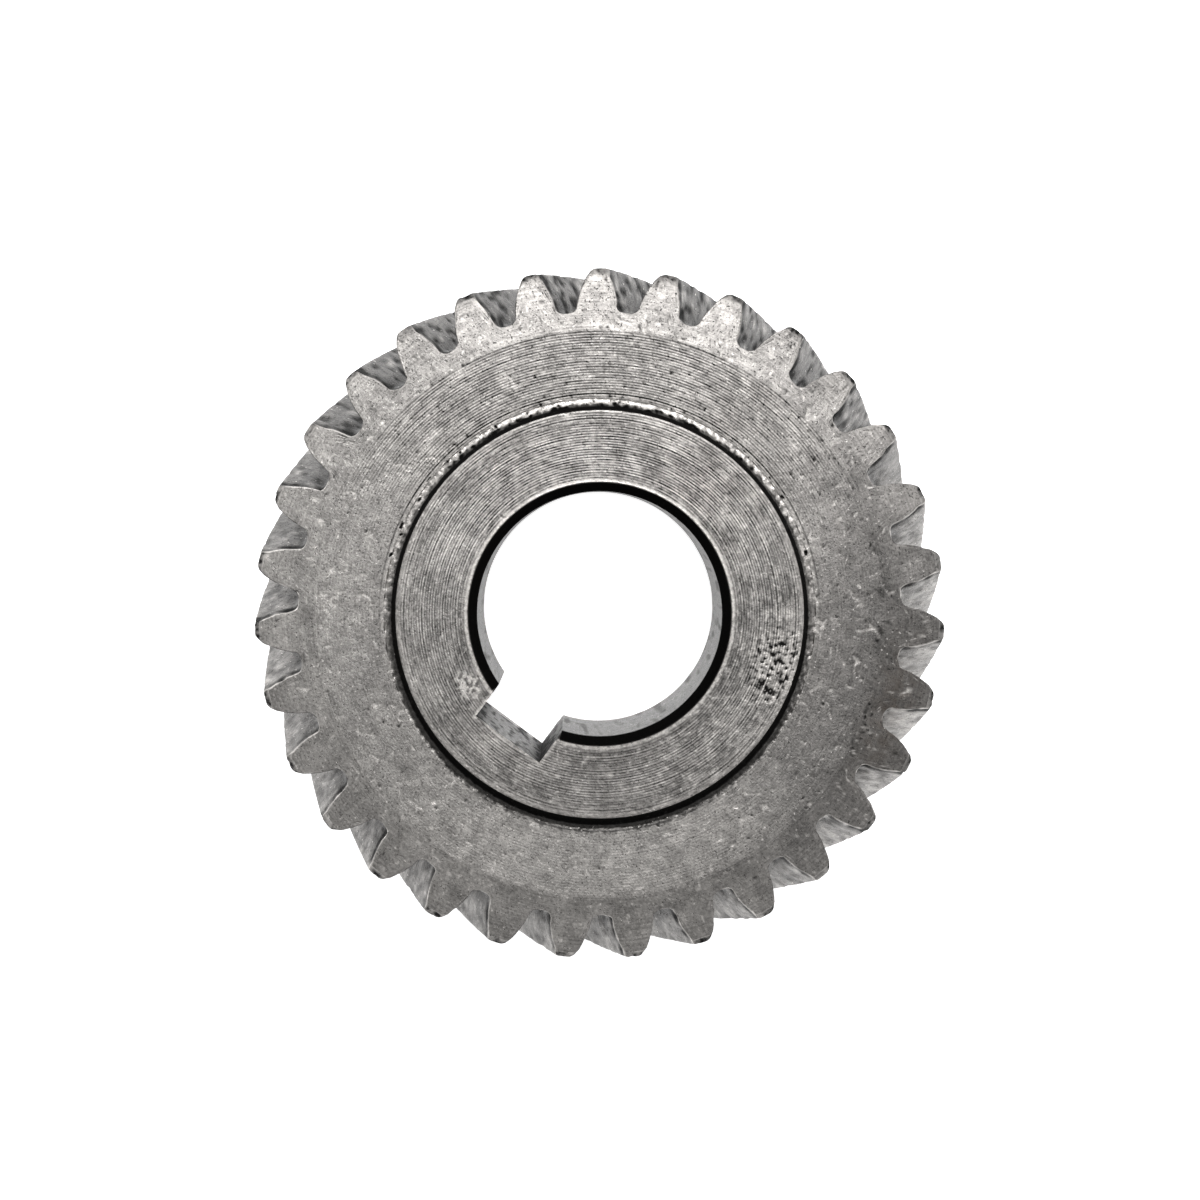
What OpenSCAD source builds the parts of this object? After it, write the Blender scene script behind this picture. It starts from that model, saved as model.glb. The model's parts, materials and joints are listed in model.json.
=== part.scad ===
// Helical gear with 31 right-hand teeth, a keyed bore and a hub that stands proud on both
// sides. It is machined from one piece of steel, so it is one solid in one node.
// All lengths are millimetres and all angles are degrees. +Z runs along the bore and out of
// the front hub face, the origin is the centre of the back hub face, and the keyway
// points to -Y.

/* [Teeth] */
// Number of teeth
teeth = 31; // [29:1:40]
// Module, measured square to the teeth
normal_module = 2; // [2:0.25:3]
// Helix angle at the pitch circle, right-hand
helix_angle = 22; // [5:0.5:25]
// Pressure angle, measured square to the teeth
pressure_angle = 20; // [18:0.5:22]
// Thinning of each tooth for backlash, along the pitch circle
backlash = 0.06; // [0:0.02:0.3]
// Clearance below the mating teeth, as a share of the module
root_clearance = 0.3; // [0.2:0.05:0.4]
// Chamfer along the tips of the teeth at both faces of the rim
tip_chamfer = 0.7; // [0.2:0.1:1]
// Angle from +X to a tooth's centre at the front of the rim
first_tooth_angle = 266.4; // [0:0.1:360]

/* [Rim] */
// Width of the toothed rim
rim_width = 14; // [10:0.5:16]
// Width of the bevelled band inside the roots of the teeth, on the front face
bevel_band = 1.9; // [0.5:0.1:3]
// Backward slope of the front face across that band and the teeth
bevel_angle = 6; // [0:0.5:12]

/* [Hub] */
// Diameter of the hub
hub_d = 41.6; // [36:0.1:42]
// Length of the hub, face to face
hub_length = 20; // [18:0.5:30]
// Height of the hub above the front face of the rim
front_boss = 1; // [0.6:0.1:1.3]
// Radius of the fillets where the hub meets the faces of the rim
hub_fillet = 1.4; // [1:0.1:1.8]
// Edge break around the hub faces
hub_edge = 0.2; // [0.1:0.05:0.4]

/* [Bore] */
// Diameter of the bore
bore_d = 25; // [20:0.5:28]
// Chamfer at both mouths of the bore
bore_chamfer = 1; // [0.5:0.1:1.5]
// Width of the keyway
key_width = 8; // [6:1:10]
// Depth of the keyway below the wall of the bore
key_depth = 3.3; // [2.5:0.1:3.8]

/* [Hidden] */
$fn = 96;
steel = [0.58, 0.57, 0.56];
over = 1; // how far a cutter runs past what it cuts

// Planes across the axis
front_face = hub_length;
web_face = front_face - front_boss;
rim_back = web_face - rim_width;

// Tooth form in the plane square to the axis
pitch_r = normal_module * teeth / cos(helix_angle) / 2;
transverse_angle = atan(tan(pressure_angle) / cos(helix_angle));
base_r = pitch_r * cos(transverse_angle);
tip_r = pitch_r + normal_module;
root_r = pitch_r - normal_module * (1 + root_clearance);
flank_start_r = max(base_r, root_r) + 0.15 * normal_module;
mouth_r = tip_r + over;
lead = 2 * PI * pitch_r / tan(helix_angle);

// Steps along a flank, round the root of a gap and along the helix
flank_steps = 5;
root_steps = 6;
helix_steps = 6;

// Involute function of an angle in degrees, in degrees
function involute(a) = tan(a) * 180 / PI - a;

// Half of the angle between two neighbouring flanks, at radius r
function gap_half_angle(r) =
    90 / teeth + backlash / 4 / pitch_r * 180 / PI
    - involute(transverse_angle) + involute(acos(base_r / r));

// Radius of the i-th point of a flank, counted from its root
function flank_r(i) = flank_start_r + (mouth_r - flank_start_r) * i / flank_steps;

// Outline of a gap as [radius, angle]: down one flank, round the root and up the other
gap_outline = concat(
    [for (i = [flank_steps:-1:0]) [flank_r(i), gap_half_angle(flank_r(i))]],
    [for (i = [1:root_steps - 1])
        let (turn = 180 * i / root_steps)
        [flank_start_r - (flank_start_r - root_r) * sin(turn),
         gap_half_angle(flank_start_r) * cos(turn)]],
    [for (i = [0:flank_steps]) [flank_r(i), -gap_half_angle(flank_r(i))]]
);

// A gap between two teeth, swept along the helix and past both faces of the rim
module tooth_gap(middle_angle) {
    n = len(gap_outline);
    low_z = rim_back - over;
    sweep = rim_width + 2 * over;
    points = [for (k = [0:helix_steps], p = gap_outline)
        let (z = low_z + sweep * k / helix_steps,
             a = middle_angle + p[1] + 360 * (z - web_face) / lead)
        [p[0] * cos(a), p[0] * sin(a), z]];
    sides = [for (k = [0:helix_steps - 1], i = [0:n - 1])
        let (a = k * n + i, b = k * n + (i + 1) % n)
        [a, a + n, b + n, b]];
    ends = [[for (i = [0:n - 1]) i], [for (i = [n - 1:-1:0]) helix_steps * n + i]];
    polyhedron(points, concat(sides, ends), convexity = 4);
}

// Arc from the hub's side to a face of the rim. The hub rises from that face by rise, in
// the direction side of +Z. A fillet that is taller than the hub stops at its edge.
function fillet_arc(face_z, side, rise, steps = 12) =
    let (height = min(rise, hub_fillet),
         start = asin((hub_fillet - height) / hub_fillet),
         centre = [hub_d / 2 + hub_fillet * cos(start), face_z + side * hub_fillet])
    [for (i = [0:steps])
        let (a = start + (90 - start) * i / steps)
        centre - hub_fillet * [cos(a), side * sin(a)]];

// Half of the blank's section: radius along X, height along Y
module blank_section() {
    shoulder_r = tip_r - tip_chamfer;
    bevel_start_r = root_r - bevel_band;
    shoulder_z = web_face - (shoulder_r - bevel_start_r) * tan(bevel_angle);
    back_rise = rim_back - hub_edge;
    front_rise = front_boss - hub_edge;
    front_arc = fillet_arc(web_face, 1, front_rise);
    polygon(concat(
        [[0, 0], [hub_d / 2 - hub_edge, 0]],
        [[hub_d / 2, hub_edge]],
        fillet_arc(rim_back, -1, back_rise),
        [[shoulder_r, rim_back], [tip_r, rim_back + tip_chamfer]],
        [[tip_r, shoulder_z - tip_chamfer], [shoulder_r, shoulder_z]],
        [[bevel_start_r, web_face]],
        [for (i = [len(front_arc) - 1:-1:0]) front_arc[i]],
        [[hub_d / 2 - hub_edge, front_face], [0, front_face]]
    ));
}

// The bore with a chamfer at each mouth
module bore() {
    translate([0, 0, -over]) cylinder(d = bore_d, h = hub_length + 2 * over);
    for (end = [0, 1])
        translate([0, 0, end * hub_length])
            mirror([0, 0, end])
                translate([0, 0, -over])
                    cylinder(r1 = bore_d / 2 + bore_chamfer + over, r2 = bore_d / 2,
                             h = bore_chamfer + over);
}

// The keyway, from the axis to its floor
module keyway() {
    floor_r = bore_d / 2 + key_depth;
    translate([-key_width / 2, -floor_r, -over])
        cube([key_width, floor_r, hub_length + 2 * over]);
}

module helical_gear() {
    color(steel) difference() {
        rotate_extrude() blank_section();
        for (i = [0:teeth - 1]) tooth_gap(first_tooth_angle + (i + 0.5) * 360 / teeth);
        bore();
        keyway();
    }
}

helical_gear();
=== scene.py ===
"""A worn helical gear of machined steel, seen along its bore, in the frame of its CAD model.

The gear is one piece of steel, so it is one closed mesh: a grid of rows and columns. A row is a
loop round the axis. The rows run up the bore, out across the front face, down the teeth, in
across the back face and so back to the bore. A column keeps its place on the tooth outline, so
the columns turn with the helix. Lengths are millimetres until the mesh is made.
"""

import json
import math

import bmesh
import bpy
import numpy as np
from mathutils import Matrix, Vector, noise


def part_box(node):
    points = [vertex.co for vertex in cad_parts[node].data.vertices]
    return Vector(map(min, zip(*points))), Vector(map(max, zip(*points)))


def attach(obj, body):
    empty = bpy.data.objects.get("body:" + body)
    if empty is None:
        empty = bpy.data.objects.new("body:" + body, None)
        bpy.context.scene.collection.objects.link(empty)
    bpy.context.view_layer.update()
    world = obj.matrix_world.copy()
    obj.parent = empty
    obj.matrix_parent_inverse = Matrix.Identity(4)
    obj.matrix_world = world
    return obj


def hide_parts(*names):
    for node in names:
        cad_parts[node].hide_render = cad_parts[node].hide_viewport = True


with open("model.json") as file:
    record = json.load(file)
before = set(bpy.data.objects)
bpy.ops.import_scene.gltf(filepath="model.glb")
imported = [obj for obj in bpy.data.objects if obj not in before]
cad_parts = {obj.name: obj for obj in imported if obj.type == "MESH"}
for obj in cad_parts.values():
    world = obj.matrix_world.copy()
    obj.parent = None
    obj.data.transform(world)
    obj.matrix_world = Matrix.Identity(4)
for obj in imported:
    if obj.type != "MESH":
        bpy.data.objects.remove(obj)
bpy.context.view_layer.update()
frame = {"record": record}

# ---------------------------------------------------------------- sizes

MM = 0.001
NODE = "helical_gear"
NODE_LOW, NODE_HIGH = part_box(NODE)
MOUNTS = {mount["name"]: mount for mount in frame["record"]["mounts"]}

BACK_Z = NODE_LOW.z / MM
FRONT_Z = NODE_HIGH.z / MM
TIP_R = (NODE_HIGH.x - NODE_LOW.x) / 2 / MM
BORE_R = MOUNTS["bore"]["dims"]["r_mm"]
BORE_CHAMFER = (FRONT_Z - BACK_Z - MOUNTS["bore"]["dims"]["length_mm"]) / 2
MOUTH_R = BORE_R + BORE_CHAMFER
KEY_FLOOR_R = -MOUNTS["keyway"]["pos_m"][1] / MM
KEY_HALF_WIDTH = 4.0
KEY_ANGLE = math.radians(270)
KEY_CORNER = math.atan(KEY_HALF_WIDTH / KEY_FLOOR_R)
KEY_MOUTH = math.asin(KEY_HALF_WIDTH / BORE_R)

TEETH = 31
PITCH = 2 * math.pi / TEETH
NORMAL_MODULE = 2.0
ROOT_DEPTH = 1.3 * NORMAL_MODULE
HELIX = math.radians(22)
PRESSURE = math.atan(math.tan(math.radians(20)) / math.cos(HELIX))
PITCH_R = NORMAL_MODULE * TEETH / math.cos(HELIX) / 2
BASE_R = PITCH_R * math.cos(PRESSURE)
ROOT_R = PITCH_R - ROOT_DEPTH
FLANK_START_R = BASE_R + 0.15 * NORMAL_MODULE
BACKLASH = 0.06
LEAD = 2 * math.pi * PITCH_R / math.tan(HELIX)
FIRST_TOOTH = math.radians(266.4)
TIP_CHAMFER = 0.7
SHOULDER_R = TIP_R - TIP_CHAMFER
TIP_ROUND = 0.35
EDGE_ROUND = 0.12

HUB_STEP = 1.0
RIM_WIDTH = 14.0
BEVEL_BAND = 1.9
WEB_Z = FRONT_Z - HUB_STEP
RIM_BACK_Z = WEB_Z - RIM_WIDTH
BEVEL_R = ROOT_R - BEVEL_BAND
BEVEL_SLOPE = math.tan(math.radians(6))
HUB_R = 20.8
HUB_EDGE = 0.2
FILLET = 1.4
FILLET_STEPS = 14

# The camera looks down the axis, and this is its right-hand side
ACROSS = Vector((0.805, 0.593, 0)).normalized()
VIEW_TURN = math.atan2(ACROSS.y, ACROSS.x)

# Passes of the turning tool across each flat face, how deep it cut, and a radius midway out
HUB_PASSES = 27
WEB_PASSES = 25
HUB_MARK = 0.016
WEB_MARK = 0.012
MIDDLE_R = 26

# ---------------------------------------------------------------- columns: the tooth outline


def involute(angle):
    return np.tan(angle) - angle


def gap_half_angle(r):
    """Half of the angle between two neighbouring flanks at radius r."""
    at_pitch = PITCH / 4 + BACKLASH / 4 / PITCH_R
    return at_pitch - involute(PRESSURE) + involute(np.arccos(BASE_R / r))


def tooth_outline(root_steps=4, flank_steps=6, corner_steps=2, land_steps=3):
    """Radius and angle of the outline of one tooth, from the middle of the gap before it to just
    short of the middle of the gap after it. Angle 0 is the tooth's centre."""
    turn = np.linspace(math.pi / 2, 0, root_steps + 1)[:-1]
    root_r = FLANK_START_R - (FLANK_START_R - ROOT_R) * np.sin(turn)
    root_angle = gap_half_angle(FLANK_START_R) * np.cos(turn)
    flank_r = np.linspace(FLANK_START_R, TIP_R - TIP_ROUND, flank_steps + 1)
    flank_angle = gap_half_angle(flank_r)
    # The worn corner is a curve whose control point is the sharp corner
    t = np.linspace(0, 1, corner_steps + 2)[1:]
    corner = gap_half_angle(TIP_R)
    land_start = corner + TIP_ROUND / TIP_R
    corner_r = TIP_R - (1 - t) ** 2 * TIP_ROUND
    corner_angle = (1 - t) ** 2 * flank_angle[-1] + 2 * t * (1 - t) * corner + t**2 * land_start
    land_angle = np.linspace(land_start, PITCH / 2, land_steps + 1)[1:]
    r = np.concatenate([root_r, flank_r, corner_r, np.full(land_steps, TIP_R)])
    angle = np.concatenate([root_angle, flank_angle, corner_angle, land_angle]) - PITCH / 2
    return np.concatenate([r, r[-2:0:-1]]), np.concatenate([angle, -angle[-2:0:-1]])


tooth_r, tooth_angle = tooth_outline()
PER_TOOTH = len(tooth_r)
COLUMNS = PER_TOOTH * TEETH
tooth_centre = FIRST_TOOTH + PITCH * np.repeat(np.arange(TEETH), PER_TOOTH)
outline_r = np.tile(tooth_r, TEETH)
outline_angle = tooth_centre + np.tile(tooth_angle, TEETH)


def wrapped(angle):
    """An angle brought to the range from -pi to pi."""
    return (angle + math.pi) % (2 * math.pi) - math.pi


def ring_angles():
    """Angles of the columns away from the teeth: evenly spaced, but with one column at each
    corner and each mouth edge of the keyway, so that those stay sharp."""
    even = tooth_centre + np.tile(np.arange(PER_TOOTH) / PER_TOOTH - 0.5, TEETH) * PITCH
    local = wrapped(even - KEY_ANGLE)
    edges = [-KEY_MOUTH, -KEY_CORNER, KEY_CORNER, KEY_MOUTH]
    nearest = [local[np.argmin(np.abs(local - edge))] for edge in edges]
    reach = 2 * KEY_MOUTH
    moved = np.interp(local, [-reach, *nearest, reach], [-reach, *edges, reach])
    return even + np.where(np.abs(local) < reach, moved - local, 0)


ring_angle = ring_angles()
key_side = np.abs(wrapped(ring_angle - KEY_ANGLE))
key_r = np.where(
    key_side < KEY_CORNER + 1e-6,
    KEY_FLOOR_R / np.cos(key_side),
    np.where(key_side < 1, KEY_HALF_WIDTH / np.sin(np.maximum(key_side, 0.01)), 0),
)


def smooth_step(value, low, high):
    """0 at low and 1 at high, with a smooth run between. low may be above high."""
    t = np.clip((value - low) / (high - low), 0, 1)
    return t * t * (3 - 2 * t)


def helix_turn(z):
    """How far the teeth have turned at height z, from where they stand at the web's height."""
    return 2 * math.pi * (z - WEB_Z) / LEAD


def inset_outline(distance):
    """Radius and angle of the tooth outline, moved into the metal by a distance."""
    x, y = outline_r * np.cos(outline_angle), outline_r * np.sin(outline_angle)
    along_x, along_y = np.roll(x, -1) - np.roll(x, 1), np.roll(y, -1) - np.roll(y, 1)
    length = np.hypot(along_x, along_y)
    x, y = x - distance * along_y / length, y + distance * along_x / length
    return np.hypot(x, y), outline_angle + wrapped(np.arctan2(y, x) - outline_angle)


# ---------------------------------------------------------------- rows

rows = []


def add_row(zone, angle, r, z, edge=0.0, mark=0.0):
    """One loop of points. zone names the surface from this row to the next one, edge is 1 on a
    sharp edge, and mark is 1 where a turning mark cuts this row."""
    values = [angle, r, z, edge, mark]
    rows.append((zone, np.stack([np.broadcast_to(value, COLUMNS) for value in values])))


def add_bore(steps=21, lip_width=0.25):
    """The plain wall of the bore and the keyway's walls, upwards. Its lips are worn bright."""
    low_z, high_z = BACK_Z + BORE_CHAMFER, FRONT_Z - BORE_CHAMFER
    for z in np.linspace(low_z, high_z, steps + 1)[:-1]:
        lip = np.exp(-min(z - low_z, high_z - z) / lip_width)
        add_row("bore_wall", ring_angle, np.maximum(BORE_R, key_r), z, edge=lip)


def add_mouth(front, steps=5):
    """The chamfer at one mouth of the bore. It runs outwards at the front, inwards at the back."""
    for t in np.linspace(0, 1, steps + 1)[:-1]:
        depth = 1 - t if front else t
        z = FRONT_Z - BORE_CHAMFER * depth if front else BACK_Z + BORE_CHAMFER * depth
        r = np.maximum(BORE_R + BORE_CHAMFER * (1 - depth), key_r)
        add_row("bore_chamfer", ring_angle, r, z)


def add_turned_face(zone, start_r, end_r, z, passes, depth, side, turns=(0, 0)):
    """A flat turned face. Every second row lies in a groove left by the tool. side is 1 on the
    front and -1 on the back, and turns are how far the columns are turned at each end."""
    count = 2 * passes
    for i in range(count):
        t = i / count
        r = start_r + (end_r - start_r) * t
        turn = turns[0] + (turns[1] - turns[0]) * t
        clear_of_key = np.where(key_r > r, 0.0, 1.0) if zone == "hub_face" else 1.0
        mark = (i % 2) * clear_of_key
        row_r = np.maximum(r, key_r) if zone == "hub_face" else r
        add_row(zone, ring_angle + turn, row_r, z - side * mark * depth, mark=mark)


def hub_side(face_z, side, rise):
    """Radius, height and edge of the rows down the hub's edge, its side and the fillet at its
    foot, going outwards from the hub face. The hub rises from face_z by rise, towards side."""
    hub_z = face_z + side * rise
    found = [(HUB_R - HUB_EDGE, hub_z, 1), (HUB_R - 0.35 * HUB_EDGE, hub_z - side * 0.05, 1)]
    found.append((HUB_R, hub_z - side * HUB_EDGE, 0))
    height = min(rise - HUB_EDGE, FILLET)
    if rise > FILLET + HUB_EDGE:
        for z in np.linspace(hub_z - side * HUB_EDGE, face_z + side * height, 5)[1:-1]:
            found.append((HUB_R, z, 0))
    start = math.asin((FILLET - height) / FILLET)
    centre_r, centre_z = HUB_R + FILLET * math.cos(start), face_z + side * FILLET
    for turn in np.linspace(start, math.pi / 2, FILLET_STEPS + 1)[1:]:
        found.append((centre_r - FILLET * math.cos(turn), centre_z - side * FILLET * math.sin(turn), 0))
    return found


def front_height(r):
    """Height of the bevelled front face of the rim, with its chamfer at the tips."""
    slope = BEVEL_SLOPE * (np.minimum(r, SHOULDER_R) - BEVEL_R)
    return WEB_Z - np.maximum(slope, 0) - np.maximum(r - SHOULDER_R, 0)


def back_height(r):
    return RIM_BACK_Z + np.maximum(r - SHOULDER_R, 0)


def rim_face_rows(height, side, inner_turn, steps, chamfer_steps=3):
    """Rows of one face of the toothed rim, from the circle at BEVEL_R out to the edge of the
    teeth. height gives the face's height at a radius."""
    target_r, target_angle = inset_outline(EDGE_ROUND)
    target_angle = target_angle + helix_turn(height(target_r))
    # The even rows stop at the tip chamfer, or just short of the outline where there is none
    split_r = np.minimum(SHOULDER_R, BEVEL_R + 0.98 * (target_r - BEVEL_R))
    found = []
    for t in np.linspace(0, 1, steps + 1):
        r = BEVEL_R + (split_r - BEVEL_R) * t
        found.append((ring_angle + inner_turn, r, t, 0.0))
    for t in np.linspace(0, 1, chamfer_steps + 1)[1:]:
        found.append((ring_angle + inner_turn, split_r + (target_r - split_r) * t, 1, 0.2 * t))
    for start_angle, r, t, edge in found:
        yield start_angle * (1 - t) + target_angle * t, r, height(r), edge
    # The worn edge, which turns down onto the flanks
    for share, drop in ((0.3, 0.3), (0.0, 1.0)):
        r, angle = inset_outline(EDGE_ROUND * share)
        z = height(r) - side * EDGE_ROUND * drop
        yield angle + helix_turn(z), r, z, 1.0 - 0.3 * drop


def add_gear(flank_steps=33):
    """All rows, in order. Where two parts share a loop, only the second one's row is kept."""
    back_turn = helix_turn(RIM_BACK_Z)
    hub_face_r = HUB_R - HUB_EDGE
    add_bore()
    add_mouth(front=True)
    add_turned_face("hub_face", MOUTH_R, hub_face_r, FRONT_Z, HUB_PASSES, HUB_MARK, 1)
    front_side = hub_side(WEB_Z, 1, FRONT_Z - WEB_Z)
    for r, z, edge in front_side[:-1]:
        add_row("hub_fillet", ring_angle, r, z, edge)
    add_turned_face("web", front_side[-1][0], BEVEL_R, WEB_Z, WEB_PASSES, WEB_MARK, 1)
    for angle, r, z, edge in rim_face_rows(front_height, 1, 0.0, steps=20):
        add_row("rim_face", angle, r, z, edge)
    rows[-1] = ("teeth", rows[-1][1])
    top, bottom = front_height(outline_r) - EDGE_ROUND, back_height(outline_r) + EDGE_ROUND
    # Closer together near the front, where the flanks are seen
    for t in np.linspace(0, 1, flank_steps + 1)[1:-1] ** 1.5:
        z = top + (bottom - top) * t
        add_row("teeth", outline_angle + helix_turn(z), outline_r, z)
    back_rim = list(rim_face_rows(back_height, -1, back_turn, steps=12))
    for angle, r, z, edge in reversed(back_rim):
        add_row("rim_face", angle, r, z, edge)
    rows.pop()
    back_side = hub_side(RIM_BACK_Z, -1, RIM_BACK_Z - BACK_Z)
    turns = (back_turn, 0)
    add_turned_face("web", BEVEL_R, back_side[-1][0], RIM_BACK_Z, WEB_PASSES, WEB_MARK, -1, turns)
    for r, z, edge in reversed(back_side):
        add_row("hub_fillet", ring_angle, r, z, edge)
    rows.pop()
    add_turned_face("hub_face", hub_face_r, MOUTH_R, BACK_Z, HUB_PASSES, HUB_MARK, -1)
    add_mouth(front=False)


add_gear()
zones = [zone for zone, _ in rows]
angle, radius, height, edge, mark = np.stack([values for _, values in rows], axis=1)
points = np.stack([radius * np.cos(angle), radius * np.sin(angle), height], axis=-1)

# ---------------------------------------------------------------- wear and tear


def noise_at(where, size, seed):
    """Smooth noise from about -1 to 1 at each point, with features of that size."""
    start = Vector((seed * 17.3, seed * 7.1, seed * 3.7))
    scaled = where.reshape(-1, 3) / size
    return np.array([noise.noise(Vector(p) + start) for p in scaled]).reshape(where.shape[:-1])


def streaks(across, along, seed):
    """Noise drawn out round the axis: its features are that wide across, and that long along the
    circle at MIDDLE_R."""
    circle = MIDDLE_R / along
    where = np.stack([radius / across, circle * np.cos(angle), circle * np.sin(angle)], axis=-1)
    return noise_at(where, size=1, seed=seed)


def above(value, start, gain):
    """0 below start, rising from there to 1 with that gain."""
    return np.clip((value - start) * gain, 0, 1)


def line_at(value, width):
    """1 where value is 0, fading to 0 on both sides."""
    return np.exp(-((value / width) ** 2))


def grid_normals(grid):
    across = np.roll(grid, -1, axis=1) - np.roll(grid, 1, axis=1)
    along = np.roll(grid, -1, axis=0) - np.roll(grid, 1, axis=0)
    normal = np.cross(along, across)
    return normal / np.maximum(np.linalg.norm(normal, axis=-1, keepdims=True), 1e-9)


def bump_at(polar_angle, r, spread_angle, spread_r):
    """1 at a place on the front of the gear, fading to 0 round it."""
    away = wrapped(angle - math.radians(polar_angle)) / math.radians(spread_angle)
    return at_front * np.exp(-(away**2) - ((radius - r) / spread_r) ** 2)


def rows_of(*names):
    return np.array([zone in names for zone in zones])[:, None]


# Where each point is as the gear is seen. at_front is the front half, seen_up is 1 at the top and
# -1 at the bottom, lower is 0 at the top and 1 at the bottom, and at_right is how near the point
# is to the darker part at the right.
at_front = height > (WEB_Z + RIM_BACK_Z) / 2
seen_up = np.sin(angle - VIEW_TURN)
lower = 0.5 - 0.5 * seen_up
at_right = line_at(wrapped(angle - VIEW_TURN + math.radians(14)), math.radians(42))
top_side, bottom_side = smooth_step(seen_up, 0.3, 0.85), smooth_step(seen_up, -0.55, -0.95)

on_hub, on_web, on_rim = rows_of("hub_face"), rows_of("web"), rows_of("rim_face")
on_teeth, on_fillet = rows_of("teeth"), rows_of("hub_fillet")
on_bore = rows_of("bore_wall", "bore_chamfer")
flat_parts = on_hub | on_web | on_rim
past_hub = radius - HUB_R

# Features on the flanks are drawn out along the axis, since they are seen from one end
place = points * (1, 1, 0.55)
fine = noise_at(place, size=0.4, seed=1)
broad = noise_at(place, size=1.8, seed=2)
flecks = noise_at(place, size=0.5, seed=3)
chips = noise_at(place, size=0.9, seed=4)
wide = noise_at(points, size=5.0, seed=5)
drawn = streaks(across=0.22, along=1.1, seed=6)
broken = streaks(across=0.3, along=2.6, seed=7)
ragged = noise_at(points * (1, 1, 0.2), size=0.6, seed=8)
scratch = line_at(noise_at(points, size=1.5, seed=9), 0.045) * above(chips, 0.12, 5)
pits = above(flecks, 0.5, 3)

# The badly pitted patch on the hub, at the right
patch = bump_at(polar_angle=20, r=18.6, spread_angle=12, spread_r=2.4)
spots = noise_at(points, size=0.33, seed=10)
patch_pits = above(spots + 0.4 * chips, 0.22, 6) * above(patch, 0.12, 1.6)
flakes = above(-spots - 0.4 * broad, -0.04, 4)
patch_flakes = flakes * above(patch, 0.08, 1.5)

# Flakes beside the keyway, and scattered ones over the upper right of the hub
scuff = above(bump_at(polar_angle=245, r=15.2, spread_angle=6, spread_r=1.1), 0.15, 2)
upper_right = line_at(wrapped(angle - VIEW_TURN - math.radians(25)), math.radians(55))
scattered = upper_right * above(broad, 0.12, 3)

# How far each point lies under the surface of a new gear: unevenness all over, pits, chipped
# edges, the pitted patch, rough flanks and scratches
edge_chips = above(chips, 0.2, 2) * edge
rough_flank = 0.03 * (1 + noise_at(points, size=0.8, seed=11)) + 0.09 * above(chips, 0.05, 2)
depth = 0.004 * (1 + fine) + 0.006 * (1 + broad)
depth += 0.09 * pits * (on_web + on_rim + 0.5 * on_hub)
depth += edge_chips * (0.2 * (on_rim + on_teeth) + 0.08 * (on_fillet + on_hub))
depth += 0.08 * patch_pits + 0.02 * (1 + fine) * patch
depth += rough_flank * on_teeth
depth += 0.04 * scratch * (on_web + on_rim)

# Chatter of the tool round the foot of the hub
rough_foot = ragged + 0.7 * fine
depth += on_fillet * smooth_step(past_hub, 0.2, 0.5) * 0.07 * (1 + rough_foot)

# The faces stay joined along the keyway, where rows of the hub face end
on_key = rows_of("hub_face", "bore_chamfer") & (key_r[None, :] > BORE_R + 1e-6)
at_key = on_key & (key_r[None, :] > radius - 1e-6)
depth = np.where(at_key, 0, depth)
points = points - depth[..., None] * grid_normals(points)

# ---------------------------------------------------------------- colour of the steel

# shade multiplies the grey of the steel and holds both its tone and painted light and shade, wear
# is bare bright metal and painted highlights, and grime is black dirt and painted shade. First
# come the darkening towards the right, the mottling, and the painted highlights at the top and
# the bottom of the faces.
outwards = smooth_step(radius, 20, 30)
mottling = 0.2 * fine + (0.2 + 0.25 * on_hub) * broad + 0.14 * wide
# Painted highlights: the hub is painted lighter at the top, with random streaks, and the web at the top and
# the bottom
hub_streaks_and_painted_highlight = 0.15 * top_side + 0.25 * broken
web_painted_highlight = 0.2 * top_side + 0.25 * bottom_side
# Painted shade: the hub is darker near the bore in its lower half
painted_shade_near_bore = smooth_step(radius, 19, 14) * smooth_step(seen_up, 0.3, -0.3)
shade = 1 - at_right * (0.2 + 0.33 * outwards) * flat_parts
shade = shade * (1 + mottling * flat_parts)
shade = shade * (1 - 0.3 * scuff) * (1 + on_hub * hub_streaks_and_painted_highlight + on_web * web_painted_highlight)
shade = shade * (1 - 0.25 * on_hub * painted_shade_near_bore)
# Drawn streaks on the rim and the web, painted lighter towards the top: partly a painted highlight
shade = shade * (1 + 0.5 * drawn * (on_rim + 0.4 * on_web) * (0.3 + 0.7 * top_side))
shade = shade * (1 + 0.5 * on_hub * at_right * above(chips + 0.5 * fine, 0.1, 5))

# Scratches, bright specks and flakes, and dirt in pits and along the bevel at the right
wear_and_painted_highlight = flat_parts * (0.8 * scratch + 0.5 * above(-flecks, 0.5, 4))
wear_and_painted_highlight = wear_and_painted_highlight + on_hub * (0.4 * above(drawn, 0.15, 4) + flakes * np.maximum(1.3 * scuff, 0.7 * scattered))
grime_and_painted_shade = (flat_parts - 0.5 * on_hub) * (0.75 * pits + 0.4 * above(fine, 0.42, 5))
at_bevel = line_at(radius - BEVEL_R - 0.2, 1.1) * (on_web + on_rim)
grime_and_painted_shade = grime_and_painted_shade + 0.6 * at_right * at_bevel * above(chips + 0.9 * fine, 0.05, 2)

# Turning marks, darker in the grooves and lighter between them. Their strength is partly painted light
# and shade, clearest where they are seen across, at the top and the bottom
hub_mark_strength_with_painted_light = on_hub * (0.5 + 0.25 * top_side) * smooth_step(radius, MOUTH_R + 0.2, MOUTH_R + 0.3)
mark_strength_with_painted_light = hub_mark_strength_with_painted_light + on_web * (0.08 + 0.6 * top_side + 0.12 * bottom_side)
grime_and_painted_shade = grime_and_painted_shade + mark * mark_strength_with_painted_light * np.clip(0.8 + 0.7 * broken - 0.3 * drawn, 0.2, 1.2)
shade = shade * (1 + (1 - mark) * mark_strength_with_painted_light * np.clip(0.55 + 0.5 * drawn, 0.1, 1.2))
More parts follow.
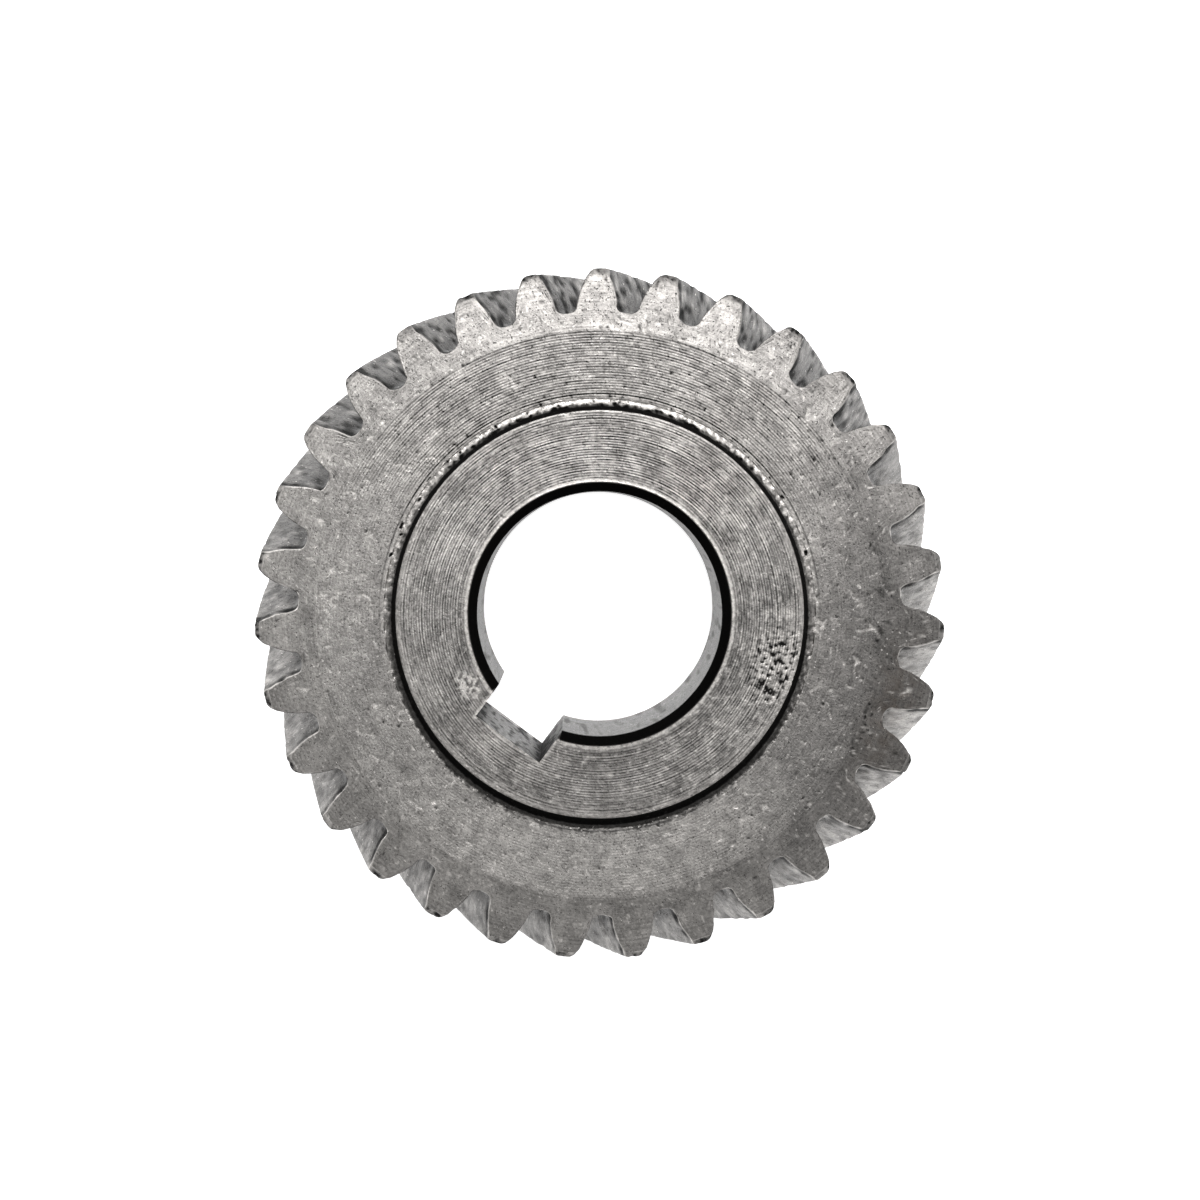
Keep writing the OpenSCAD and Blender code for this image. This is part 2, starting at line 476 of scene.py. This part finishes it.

# The foot of the hub: a black painted shadow in the corner, wider towards the bottom, then a band
# of painted shade, with black added at the top, then on the upper side a painted highlight where
# the metal would catch the light, with dark chatter pits in it and a painted shade line at its
# outer edge. At the back the painted shadow and shade are fainter.
painted_shadow_end = 0.42 + 0.36 * lower**2 + 0.08 * rough_foot
painted_corner_shadow_strength = np.where(at_front, past_hub > -0.01, 0.4 * (past_hub > 0.05))
painted_corner_shadow = smooth_step(past_hub, painted_shadow_end + 0.08, painted_shadow_end - 0.08) * painted_corner_shadow_strength * on_fillet
painted_shade_band_end = 0.72 + 0.1 * lower + 0.75 * lower**3 + 0.25 * rough_foot
# dull is the band of painted shade
dull = smooth_step(past_hub, painted_shade_band_end + 0.12, painted_shade_band_end - 0.12) * (past_hub > 0)
highlight_band_start = 0.76 + 0.3 * rough_foot
painted_highlight_band = smooth_step(past_hub, highlight_band_start - 0.12, highlight_band_start + 0.12)
painted_highlight_band = painted_highlight_band * smooth_step(past_hub, 1.58, 1.38) * smooth_step(lower, 0.66, 0.3)
band_dirt = above(flecks + 0.5 * chips, 0.4, 4)
painted_shade_line = line_at(past_hub - 1.66 - 0.08 * ragged, 0.07) * smooth_step(lower, 0.7, 0.2)
near_foot = (on_fillet + on_web) * np.where(at_front, 1, 0.4)
shade = shade * (1 - 0.7 * dull * near_foot)
grime_and_painted_shade = grime_and_painted_shade + near_foot * dull * top_side * np.clip(0.5 + 0.9 * chips + 0.6 * fine, 0, 1)
wear_and_painted_highlight = wear_and_painted_highlight + painted_highlight_band * near_foot * np.clip(0.55 + 0.8 * fine, 0, 1)
grime_and_painted_shade = grime_and_painted_shade + near_foot * (0.6 * painted_shade_line + painted_highlight_band * band_dirt)
grime_and_painted_shade = np.maximum(grime_and_painted_shade, painted_corner_shadow)

# Bright lines along the edges of the hub face and the keyway: worn edges, the outer one painted
# brighter towards the bottom as a painted highlight
outer_edge_with_painted_highlight = (0.3 + 0.7 * lower) * line_at(HUB_R - HUB_EDGE - radius, 0.16)
hub_edges = line_at(radius - MOUTH_R, 0.22) + outer_edge_with_painted_highlight
past_key_side = np.maximum(np.abs(points[..., 0]) - KEY_HALF_WIDTH, 0)
past_key_floor = np.maximum(-points[..., 1] - KEY_FLOOR_R, 0)
key_edge = line_at(np.hypot(past_key_side, past_key_floor), 0.24) * (points[..., 1] < 0)
wear_and_painted_highlight = wear_and_painted_highlight + on_hub * (hub_edges + key_edge * np.clip(0.8 + 1.5 * chips, 0, 1))
grime_and_painted_shade = grime_and_painted_shade * (1 - on_hub * np.clip(key_edge + hub_edges + 0.8 * scuff, 0, 1))
# The hub's worn rim, painted brighter towards the bottom: partly a painted highlight
wear_and_painted_highlight = wear_and_painted_highlight + (0.15 + 0.6 * lower) * edge * on_fillet * (0.8 + 0.6 * ragged)
wear_and_painted_highlight = wear_and_painted_highlight + 0.8 * rows_of("bore_wall") * edge

# The bore and the keyway: stained in upright streaks, dirty chips in the keyway, and a painted shade
# that makes the keyway's corners black
in_key = on_bore & (key_side < KEY_MOUTH - 1e-6)
upright = noise_at(points * (1, 1, 0.12), size=0.9, seed=12)
key_corner_painted_shade = np.exp(-np.abs(key_side - KEY_CORNER) / 0.035)
shade = np.where(on_bore, 1 + 0.7 * upright + 0.3 * chips, shade)
grime_and_painted_shade = grime_and_painted_shade + on_bore * 0.4 * above(upright, 0.22, 3)
grime_and_painted_shade = grime_and_painted_shade + in_key * (0.8 * key_corner_painted_shade + 0.6 * above(chips, 0.08, 4))

# The edges of the teeth: a bright burr on the flank that is seen from the front, painted dimmer and
# darker at the top, which is partly a painted highlight; a painted shadow along the edge of the
# other flank; a dark line under both; and painted shade on the tip chamfers
seen_flank = np.tile(tooth_angle < -1e-6, TEETH)[None, :]
burr_and_painted_edge_light = edge * (on_rim + on_teeth) * np.clip(0.9 + 1.4 * fine, 0, 1)
under_edge = on_teeth * line_at(height - front_height(radius) + 0.55, 0.4)
on_tip_chamfer = on_rim * smooth_step(radius, SHOULDER_R - 0.1, SHOULDER_R + 0.25)
wear_and_painted_highlight = wear_and_painted_highlight + burr_and_painted_edge_light * np.where(seen_flank, 1.2, 0.2) * (1 - 0.4 * top_side)
grime_and_painted_shade = grime_and_painted_shade + burr_and_painted_edge_light * np.where(seen_flank, 0.1 + 0.3 * top_side, 0.85)
grime_and_painted_shade = grime_and_painted_shade + under_edge * np.clip(0.6 + 1.0 * chips, 0, 1)
grime_and_painted_shade = grime_and_painted_shade + on_tip_chamfer * np.clip(0.45 + 0.5 * chips + 0.4 * fine, 0.1, 0.8)

# Flanks: rough and dirty, their dark chips stronger at the top as painted shade, black at the roots
# from a painted shadow, and paler at the right and the bottom from painted light
flank_tone_with_painted_light = 0.46 + 0.6 * at_right + 0.34 * smooth_step(seen_up, 0.8, -0.2)
painted_root_shadow_fade = smooth_step(outline_r, ROOT_R - 0.1, ROOT_R + 2.0)[None, :]
flank_tone_with_painted_light = flank_tone_with_painted_light * (0.35 + 0.65 * painted_root_shadow_fade) * (1 + 0.5 * broad + 0.4 * fine)
shade = np.where(on_teeth, flank_tone_with_painted_light, shade)
grime_and_painted_shade = grime_and_painted_shade + on_teeth * above(chips, 0.15, 4) * (0.3 + 0.5 * top_side)
wear_and_painted_highlight = wear_and_painted_highlight + on_teeth * 0.35 * above(-chips, 0.32, 4)

# The pitted patch, the bore's chamfers painted black all round as painted shade, and the brown stain
# at the right of the rim
grime_and_painted_shade = grime_and_painted_shade + patch_pits
wear_and_painted_highlight = wear_and_painted_highlight + 0.9 * patch_flakes * (1 - patch_pits)
grime_and_painted_shade = np.where(rows_of("bore_chamfer") & ~in_key, 1, grime_and_painted_shade)
stain = bump_at(polar_angle=18, r=31.5, spread_angle=12, spread_r=2.2)


def make_gear():
    """The mesh, with a slot for each zone's material and the layers that the materials read."""
    row_count = len(rows)
    index = np.arange(row_count * COLUMNS).reshape(row_count, COLUMNS)
    below, right = np.roll(index, -1, axis=0), np.roll(index, -1, axis=1)
    quads = np.stack([index, below, np.roll(below, -1, axis=1), right], axis=-1).reshape(-1, 4)
    # shade is halved, since a layer holds values from 0 to 1
    mesh = bpy.data.meshes.new("gear_steel")
    mesh.from_pydata((points * MM).reshape(-1, 3).tolist(), [], quads.tolist())
    for name, values in (("shade", shade / 2), ("wear_and_painted_highlight", wear_and_painted_highlight), ("grime_and_painted_shade", grime_and_painted_shade), ("stain", stain)):
        layer = mesh.attributes.new(name, "FLOAT", "POINT")
        layer.data.foreach_set("value", np.clip(values, 0, 1).astype(np.float32).ravel())
    on_tip = (outline_r > TIP_R - 0.6 * TIP_ROUND)[None, :]
    zone_index = np.array([ZONES.index(zone) for zone in zones])[:, None] * np.ones_like(index)
    zone_index = np.where(in_key, ZONES.index("keyway"), zone_index)
    zone_index = np.where(rows_of("teeth") & on_tip, ZONES.index("tooth_tip"), zone_index)
    mesh.polygons.foreach_set("material_index", zone_index.astype(np.int32).ravel())
    mesh.shade_smooth()
    # Turned grooves are shaded flat, so that each one stays a crisp line
    flat = (on_hub | on_web) | np.zeros_like(index, bool)
    mesh.polygons.foreach_set("use_smooth", (~flat).ravel())
    # Rows meet along the keyway, so the points that coincide there are joined
    work = bmesh.new()
    work.from_mesh(mesh)
    bmesh.ops.remove_doubles(work, verts=work.verts, dist=1e-6)
    work.to_mesh(mesh)
    work.free()
    mesh.set_sharp_from_angle(angle=math.radians(38))
    gear = bpy.data.objects.new("gear_steel", mesh)
    bpy.context.scene.collection.objects.link(gear)
    return gear


# ---------------------------------------------------------------- materials


class Shader:
    """A short way to write a node material whose coordinates are millimetres on the gear."""

    def __init__(self, name):
        self.material = bpy.data.materials.new(name)
        self.material.use_nodes = True
        self.tree = self.material.node_tree
        self.surface = self.tree.nodes["Principled BSDF"]
        place = self.node("ShaderNodeTexCoord").outputs["Object"]
        self.place = self.vector_math("SCALE", place, scale=1 / MM)

    def node(self, kind, **settings):
        made = self.tree.nodes.new(kind)
        for key, value in settings.items():
            setattr(made, key, value)
        return made

    def plug(self, socket, value):
        if isinstance(value, bpy.types.NodeSocket):
            self.tree.links.new(value, socket)
        else:
            socket.default_value = value

    def math(self, operation, *values, clamp=False):
        made = self.node("ShaderNodeMath", operation=operation, use_clamp=clamp)
        for socket, value in zip(made.inputs, values):
            self.plug(socket, value)
        return made.outputs[0]

    def vector_math(self, operation, *values, scale=None):
        made = self.node("ShaderNodeVectorMath", operation=operation)
        for socket, value in zip(made.inputs, values):
            self.plug(socket, value)
        if scale is not None:
            made.inputs["Scale"].default_value = scale
        return made.outputs[0]

    def noise(self, size, detail=2.0, where=None, roughness=0.6):
        made = self.node("ShaderNodeTexNoise")
        self.plug(made.inputs["Vector"], where or self.place)
        made.inputs["Scale"].default_value = 1 / size
        made.inputs["Detail"].default_value = detail
        made.inputs["Roughness"].default_value = roughness
        return made.outputs["Fac"]

    def rings(self, size, detail=2.0):
        """Noise that changes only with the distance from the axis."""
        parts = self.node("ShaderNodeSeparateXYZ")
        self.plug(parts.inputs[0], self.place)
        square = [self.math("MULTIPLY", parts.outputs[i], parts.outputs[i]) for i in (0, 1)]
        distance = self.math("SQRT", self.math("ADD", *square))
        made = self.node("ShaderNodeTexNoise", noise_dimensions="1D")
        self.plug(made.inputs["W"], distance)
        made.inputs["Scale"].default_value = 1 / size
        made.inputs["Detail"].default_value = detail
        return made.outputs["Fac"]

    def stretch(self, value, low, high, to_low=0.0, to_high=1.0):
        made = self.node("ShaderNodeMapRange", clamp=True)
        for socket, number in zip(made.inputs, (value, low, high, to_low, to_high)):
            self.plug(socket, number)
        return made.outputs[0]

    def colour_of(self, value):
        """The same number in red, green and blue."""
        made = self.node("ShaderNodeCombineXYZ")
        for socket in made.inputs:
            self.plug(socket, value)
        return made.outputs[0]

    def layer(self, name):
        return self.node("ShaderNodeAttribute", attribute_name=name).outputs["Fac"]

    def mix(self, share, low, high):
        """A blend of two colours. Sockets 6 and 7 and output 2 are the node's colour ones."""
        made = self.node("ShaderNodeMix", data_type="RGBA")
        self.plug(made.inputs["Factor"], share)
        self.plug(made.inputs[6], low)
        self.plug(made.inputs[7], high)
        return made.outputs[2]


def grey(value, warmth=0.045):
    """The slightly warm grey of the steel."""
    return (value * (1 + warmth), value, value * (1 - warmth), 1)


STAIN_BROWN = (0.105, 0.08, 0.06, 1)
PIT_GREY = grey(0.03)
BARE_METAL_AND_PAINTED_HIGHLIGHT = grey(0.8)
DIRT_AND_PAINTED_SHADE_BLACK = grey(0.006)


def steel(name, dark, light, roughness, patch=1.2, grain=0.25, rings=0.0, specks=0.64,
          glints=0.8, metallic=0.85, relief=0.02, streak=(1, 1, 1)):
    """Worn steel. dark and light are the grey of its darkest and lightest spots. patch and grain
    are the sizes of its mottling, rings is how much the turning lines show, and specks and
    glints are noise levels above which a spot is a black pit or a bright speck. relief is the
    height of the grain in millimetres, and streak squeezes the grain's coordinates."""
    s = Shader(name)
    streaked = s.vector_math("MULTIPLY", s.place, streak)
    patches = s.stretch(s.noise(patch, 3), 0.3, 0.7)
    grains = s.stretch(s.noise(grain, 3, streaked), 0.3, 0.7)
    tone = s.math("ADD", s.math("MULTIPLY", patches, 0.5), s.math("MULTIPLY", grains, 0.5))
    if rings:
        lines = s.stretch(s.rings(0.2), 0.35, 0.65, -rings, rings)
        lines = s.math("MULTIPLY", lines, s.stretch(s.noise(3.0), 0.3, 0.7, 0.3, 1.0))
        tone = s.math("ADD", tone, lines, clamp=True)
    colour = s.mix(tone, grey(dark), grey(light))
    shade = s.math("MULTIPLY", s.layer("shade"), 2.0)
    colour = s.vector_math("MULTIPLY", colour, s.colour_of(shade))
    pitted = s.stretch(s.noise(0.2, 1), specks, specks + 0.05)
    dirt_and_painted_shade = s.math("MULTIPLY", s.layer("grime_and_painted_shade"), s.stretch(s.noise(0.4, 2), 0.3, 0.6, 0.85, 1.4), clamp=True)
    worn_and_painted_highlight = s.math("MULTIPLY", s.layer("wear_and_painted_highlight"), s.stretch(s.noise(0.4, 2), 0.35, 0.6, 0.4, 1.2), clamp=True)
    bright = s.math("MAXIMUM", worn_and_painted_highlight, s.stretch(s.noise(0.25, 0), glints, glints + 0.05))
    stained = s.math("MULTIPLY", s.layer("stain"), s.stretch(s.noise(1.0, 3), 0.35, 0.6, 0.1, 0.5))
    # Dirt and painted shade mix the colour towards black; bare metal, bright specks and painted highlights
    # mix it towards a pale grey
    colour = s.mix(stained, colour, STAIN_BROWN)
    colour = s.mix(s.math("MULTIPLY", pitted, 0.7), colour, PIT_GREY)
    colour = s.mix(s.math("MULTIPLY", bright, 0.85), colour, BARE_METAL_AND_PAINTED_HIGHLIGHT)
    colour = s.mix(dirt_and_painted_shade, colour, DIRT_AND_PAINTED_SHADE_BLACK)
    s.plug(s.surface.inputs["Base Color"], colour)
    s.surface.inputs["Metallic"].default_value = metallic
    dull = s.math("MAXIMUM", pitted, dirt_and_painted_shade)
    rough = s.stretch(grains, 0, 1, roughness - 0.04, roughness + 0.05)
    s.plug(s.surface.inputs["Roughness"], s.math("ADD", rough, s.math("MULTIPLY", dull, 0.35), clamp=True))
    made = s.node("ShaderNodeBump")
    made.inputs["Strength"].default_value = 0.7
    made.inputs["Distance"].default_value = relief * MM
    s.plug(made.inputs["Height"], s.math("SUBTRACT", grains, s.math("MULTIPLY", pitted, 1.5)))
    s.plug(s.surface.inputs["Normal"], made.outputs["Normal"])
    return s.material


FINISHES = {
    "bore_wall": dict(dark=0.02, light=0.15, roughness=0.4, patch=1.5, streak=(1, 1, 0.3)),
    "keyway": dict(dark=0.02, light=0.17, roughness=0.42, patch=1.5, streak=(1, 1, 0.2)),
    # The bore's chamfer has a near-black finish: painted shade
    "bore_chamfer": dict(dark=0.005, light=0.04, roughness=0.6, patch=2, glints=0.95, metallic=1),
    "hub_face": dict(dark=0.1, light=0.5, roughness=0.38, patch=2.5, rings=0.4),
    "hub_fillet": dict(dark=0.12, light=0.42, roughness=0.4, patch=0.8, metallic=1),
    "web": dict(dark=0.15, light=0.48, roughness=0.42, rings=0.1),
    "rim_face": dict(dark=0.17, light=0.5, roughness=0.44, patch=2.5, rings=0.15),
    "teeth": dict(dark=0.04, light=0.36, roughness=0.42, patch=0.8, grain=0.35, metallic=0.6, relief=0.04),
    "tooth_tip": dict(dark=0.04, light=0.26, roughness=0.44, patch=1.5, grain=0.4),
}
ZONES = list(FINISHES)

gear = make_gear()
for zone, finish in FINISHES.items():
    gear.data.materials.append(steel(zone, **finish))

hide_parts(NODE)
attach(gear, "root")

# ---------------------------------------------------------------- camera, floor and light

# The view is straight down the axis, with the keyway pointing to the lower left. The camera
# stands above the gear and a little beside the axis, and its lens shift brings the gear back.
UP = Vector((-ACROSS.y, ACROSS.x, 0))
AXIS = Vector((0, 0, 1))
VIEW_DISTANCE = 238
camera = bpy.data.objects.new("camera", bpy.data.cameras.new("camera"))
bpy.context.scene.collection.objects.link(camera)
turned = Matrix((ACROSS, UP, AXIS)).transposed().to_4x4()
eye = (-2.2 * ACROSS + 11.3 * UP + (FRONT_Z + VIEW_DISTANCE) * AXIS) * MM
camera.matrix_world = Matrix.Translation(eye) @ turned
camera.data.lens = 70.3
camera.data.sensor_width = 36
camera.data.shift_x = 0.0183
camera.data.shift_y = -0.0808
camera.data.clip_start = 0.01
bpy.context.scene.camera = camera


def make_floor(half_width=3.0):
    mesh = bpy.data.meshes.new("floor")
    corners = [(-1, -1), (1, -1), (1, 1), (-1, 1)]
    mesh.from_pydata([(x * half_width, y * half_width, NODE_LOW.z) for x, y in corners], [], [(0, 1, 2, 3)])
    floor = bpy.data.objects.new("floor", mesh)
    bpy.context.scene.collection.objects.link(floor)
    material = bpy.data.materials.new("pale_floor")
    material.use_nodes = True
    surface = material.node_tree.nodes["Principled BSDF"]
    surface.inputs["Base Color"].default_value = (0.8, 0.8, 0.8, 1)
    surface.inputs["Roughness"].default_value = 0.9
    surface.inputs["Emission Color"].default_value = (1, 1, 1, 1)
    surface.inputs["Emission Strength"].default_value = 0.95
    mesh.materials.append(material)


def add_softbox(name, across, up, above, size, watts):
    """A square soft light that faces the middle of the gear."""
    light = bpy.data.lights.new(name, "AREA")
    light.size = size
    light.energy = watts
    made = bpy.data.objects.new(name, light)
    bpy.context.scene.collection.objects.link(made)
    made.location = across * ACROSS + up * UP + above * AXIS
    made.rotation_euler = made.location.to_track_quat("Z", "Y").to_euler()


make_floor()
add_softbox("key_light", across=0.08, up=0.38, above=0.75, size=0.32, watts=1.8)
add_softbox("key_light_near_axis", across=0, up=0.25, above=0.85, size=0.3, watts=1.1)
add_softbox("key_light_above", across=-0.05, up=0.55, above=0.7, size=0.35, watts=2.4)
add_softbox("low_light_upper_left", across=-0.7, up=0.42, above=0.32, size=0.4, watts=2.2)
add_softbox("low_light_upper_right", across=0.55, up=0.62, above=0.32, size=0.4, watts=2.2)
add_softbox("low_light_right", across=0.8, up=-0.05, above=0.3, size=0.4, watts=1.5)

# The room is white near the horizon and grey overhead
world = bpy.data.worlds.new("studio")
world.use_nodes = True
world_nodes, world_links = world.node_tree.nodes, world.node_tree.links
direction = world_nodes.new("ShaderNodeSeparateXYZ")
fade = world_nodes.new("ShaderNodeMapRange")
fade.inputs["From Min"].default_value = 0.2
fade.inputs["From Max"].default_value = 0.5
fade.inputs["To Min"].default_value = 1.0
fade.inputs["To Max"].default_value = 0.2
world_links.new(world_nodes.new("ShaderNodeTexCoord").outputs["Generated"], direction.inputs[0])
world_links.new(direction.outputs["Z"], fade.inputs["Value"])
world_links.new(fade.outputs["Result"], world_nodes["Background"].inputs["Color"])
bpy.context.scene.world = world
bpy.context.scene.view_settings.view_transform = "Standard"
